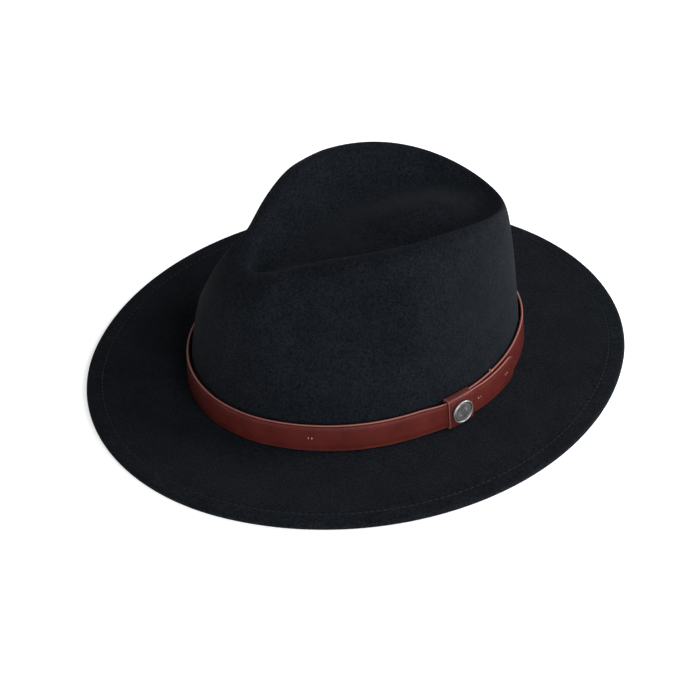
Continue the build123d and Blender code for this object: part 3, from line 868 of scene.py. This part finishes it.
def stud_cap(material):
    """A round cap: rolled rim, ring of beads and a fine sunburst field."""
    base = KEEPER_FRONT + KEEPER_LEATHER
    centre, along, up, outward = wall_frame(radians(KEEPER_ANGLE), base, STRAP_MIDDLE)
    turns = np.linspace(0, 2 * pi, 192, endpoint=False)
    radii = np.concatenate((np.linspace(0.15, 5.6, 34), np.linspace(5.7, STUD_RADIUS - 0.04, 16)))
    r, t = np.meshgrid(radii, turns)
    height, dark = stud_height(r, t)
    # The cap's side is painted darker toward the keeper as a painted contact shade; its underside is
    # fully dark.
    skirt = ((STUD_RADIUS, 1.35, 0.2), (STUD_RADIUS, 0.9, 0.4), (STUD_RADIUS - 0.25, 0.35, 0.8),
             (STUD_RADIUS - 0.5, 0.0, 1.0), (2.0, 0.0, 1.0))
    for radius, level, shade in skirt:
        r = np.concatenate((r, np.full((len(turns), 1), radius)), 1)
        t = np.concatenate((t, t[:, :1]), 1)
        height = np.concatenate((height, np.full((len(turns), 1), level)), 1)
        dark = np.concatenate((dark, np.full((len(turns), 1), shade)), 1)
    points = centre + (r * np.cos(t))[..., None] * along + (r * np.sin(t))[..., None] * up
    points = points + height[..., None] * outward
    rows, columns = r.shape
    faces = grid_faces(rows, columns, wrap_rows=True)
    faces.append(tuple(range(0, rows * columns, columns)))
    faces.append(tuple(range(columns - 1, rows * columns, columns))[::-1])
    piece = make_piece("stud_face", points.reshape(-1, 3), faces, "keeper", material,
                       dark)
    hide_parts("stud_cap")
    return piece


# ---------------------------------------------------------------- inside the crown

def sweatband(material):
    """The leather sweatband: a band inside the wall, creased low down and loose at its top edge."""
    angles = np.linspace(0, 2 * pi, 360, endpoint=False)
    half = (SWEATBAND_TOP - SWEATBAND_BOTTOM) / 2
    middle = (SWEATBAND_TOP + SWEATBAND_BOTTOM) / 2

    def shape(angle, depth, height):
        lift = ease((height - middle) / half)
        depth = depth - 0.35 * lift * (1 + np.sin(5 * angle) * 0.5 + 0.3 * np.sin(11 * angle + 1))
        seam = np.exp(-(((angle - pi / 2) * OVAL_END_RADIUS / 0.8) ** 2))
        return depth - 0.25 * seam, height

    marks = ((1.6, 0.0), (2.0, 0.15), (2.4, 0.0), (4.5, 0.0), (8.0, 0.0))
    piece = band("sweatband_leather", angles, SWEATBAND_OUT, half, middle, SWEATBAND, 0.35,
                 material, face_marks=marks, shape=shape, closed=True)
    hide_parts("sweatband")
    return piece


def short_band(name, node, arc_middle, radius, width, out, bottom, top, thickness, material):
    """A short strip of cloth along the wall."""
    half_turn = width / 2 / (radius + out)
    angles = radians(arc_middle) + np.linspace(-half_turn, half_turn, 24)
    half = (top - bottom) / 2
    piece = band(name, angles, out, half, (top + bottom) / 2, thickness, thickness * 0.4, material)
    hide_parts(node)
    return piece


def size_tape(tape_material, pad_material):
    """The sizing tape behind the sweatband, with its hook and loop pads."""
    angles = np.linspace(SIDE_ANGLE, pi - SIDE_ANGLE, 90)
    half = (TAPE_TOP - TAPE_BOTTOM) / 2
    tape = band("size_tape_webbing", angles, TAPE_OUT, half, (TAPE_TOP + TAPE_BOTTOM) / 2, TAPE, 0.15,
                tape_material)
    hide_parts("size_tape")
    for name, node, out in (("hook_pad", "size_tape_hook_pad", TAPE_OUT + PAD),
                            ("loop_pad", "size_tape_loop_pad", TAPE_OUT + 2 * PAD)):
        pad = short_band(name, node, 90, OVAL_END_RADIUS, PAD_LENGTH, out, TAPE_BOTTOM, TAPE_TOP, PAD,
                         pad_material)


def size_label(material):
    """A blank woven label on the sweatband's inner face."""
    out = SWEATBAND_OUT - SWEATBAND - 0.02
    label = short_band("size_label_cloth", "size_label", LABEL_ANGLE, SIDE_RADIUS, LABEL_WIDTH, out,
                       LABEL_BOTTOM, LABEL_TOP, 0.3, material)


def ribbon(path, sides, widths, thickness=0.3):
    """A flat ribbon along a path; sides gives the direction across it at each point."""
    step = np.gradient(path, axis=0)
    face = np.cross(step, sides)
    face /= np.linalg.norm(face, axis=1)[:, None]
    corners = ((-1, -0.5), (-0.5, -0.62), (0.5, -0.62), (1, -0.5),
               (1, 0.5), (0.5, 0.62), (-0.5, 0.62), (-1, 0.5))
    points = []
    for p, s, f, w in zip(path, sides, face, widths):
        points.extend(p + s * w / 2 * a + f * thickness * b for a, b in corners)
    count = len(corners)
    faces = grid_faces(len(path), count, wrap_columns=True)
    faces.append(tuple(range(count)))
    faces.append(tuple(range((len(path) - 1) * count, len(path) * count))[::-1])
    return np.array(points), faces


def sweatband_bow(material):
    """A small ribbon bow over the sweatband's back seam: two loops and a knot."""
    centre, along, up, outward = wall_frame(pi / 2, SWEATBAND_OUT - SWEATBAND, BOW_HEIGHT)
    inward = -outward
    parts = []
    s = np.linspace(0, 1, 28)
    for side in (-1, 1):
        reach = side * (1.0 + 9.6 * np.sin(pi * s) ** 0.8)
        lift = 1.35 + 0.75 * np.sin(2 * pi * s)
        sag = -0.5 * np.sin(pi * s)
        path = centre + reach[:, None] * along + lift[:, None] * inward + sag[:, None] * up
        widths = 2.6 + 2.5 * np.sin(pi * s)
        parts.append(ribbon(path, np.tile(up, (len(s), 1)), widths))
    knot = loop_path(2.35, 0.35, -2.6, 2.6, 0.8, steps=6)
    path = centre + knot[:, :1] * inward + knot[:, 1:2] * up
    path = np.concatenate((path, path[:1]))
    parts.append(ribbon(path, np.tile(along, (len(path), 1)), np.full(len(path), 3.4)))
    points, faces = gather(parts)
    piece = make_piece("bow_ribbon", points, faces, "hat", material)
    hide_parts("sweatband_bow")
    return piece


# ---------------------------------------------------------------- stage, light and camera

def stage_and_light():
    """A pale floor, a pale surround, and two soft lights: behind the hat and at its left side."""
    bpy.ops.mesh.primitive_plane_add(size=FLOOR_SIDE)
    floor = bpy.context.object
    floor.name = "floor"
    floor.data.materials.append(floor_material())
    world = bpy.data.worlds.new("studio")
    world.use_nodes = True
    surround = world.node_tree.nodes["Background"]
    surround.inputs["Color"].default_value = (1, 1, 1, 1)
    surround.inputs["Strength"].default_value = SURROUND_STRENGTH
    bpy.context.scene.world = world
    for name, place, size, power in LIGHTS:
        light = bpy.data.lights.new(name, "AREA")
        light.energy = power
        light.size = size
        lamp = bpy.data.objects.new(name, light)
        lamp.location = place
        lamp.rotation_euler = (-Vector(place)).to_track_quat("-Z", "Y").to_euler()
        bpy.context.scene.collection.objects.link(lamp)
    bpy.context.scene.view_settings.view_transform = "Standard"


def camera():
    """The camera, aimed at the middle of the brim and rolled a little."""
    place, aim = Vector(CAMERA_PLACE), Vector(CAMERA_AIM)
    back = (place - aim).normalized()
    right = Vector((0, 0, 1)).cross(back).normalized()
    up = back.cross(right)
    roll = radians(CAMERA_ROLL)
    rolled_right = right * cos(roll) + up * sin(roll)
    rolled_up = up * cos(roll) - right * sin(roll)
    lens = bpy.data.cameras.new("camera")
    lens.lens = CAMERA_LENS
    lens.sensor_width = 36
    lens.shift_x, lens.shift_y = CAMERA_SHIFT
    eye = bpy.data.objects.new("camera", lens)
    turn = Matrix((rolled_right, rolled_up, back)).transposed().to_4x4()
    eye.matrix_world = Matrix.Translation(place) @ turn
    bpy.context.scene.collection.objects.link(eye)
    bpy.context.scene.camera = eye


def finish_cad_node(name, material):
    """Gives a CAD part that stays its material."""
    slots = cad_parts[name].data.materials
    slots.clear()
    slots.append(material)


camera()
stage_and_light()

black_thread = thread_material("black_thread", (0.003, 0.0035, 0.005, 1), (0.014, 0.016, 0.020, 1),
                               sheen=0.02)
brown_thread = thread_material("brown_thread", (0.35, 0.16, 0.13, 1), (0.72, 0.45, 0.38, 1))
# The third colour of each leather is its edge colour: worn edges and a painted highlight.
strap_leather = leather_material("red_brown_leather", (0.060, 0.0085, 0.0068, 1),
                                 (0.093, 0.0150, 0.0120, 1), (0.33, 0.13, 0.11, 1))
sweat_leather = leather_material("black_sweatband", (0.010, 0.010, 0.011, 1), (0.024, 0.024, 0.026, 1),
                                 (0.06, 0.06, 0.062, 1), roughness=0.5, coat=0.05)
silver = metal_material("antique_silver", (0.40, 0.40, 0.395, 1), (0.07, 0.07, 0.075, 1), 0.45)
steel = metal_material("spring_steel", (0.45, 0.45, 0.46, 1), (0.12, 0.12, 0.12, 1), 0.35)
ribbon_cloth = woven_material("black_ribbon", (0.006, 0.006, 0.007, 1), (0.03, 0.03, 0.034, 1), 0.0005)
pad_cloth = woven_material("hook_pad", (0.008, 0.008, 0.009, 1), (0.045, 0.045, 0.05, 1), 0.0008)
label_cloth = woven_material("label_cloth", (0.42, 0.41, 0.38, 1), (0.70, 0.69, 0.65, 1), 0.0004)

felt_body(felt_material())
brim_stitches(black_thread)
hatband_strap(strap_leather)
band_tacks(brown_thread)
keeper_loop(strap_leather)
stud_cap(silver)
sweatband(sweat_leather)
sweat_stitches(black_thread)
sweatband_bow(ribbon_cloth)
size_tape(ribbon_cloth, pad_cloth)
size_label(label_cloth)
for steel_node in ("brim_wire", "brim_wire_sleeve", "stud_post"):
    finish_cad_node(steel_node, steel)
finish_cad_node("sweatband_reed", clear_material())
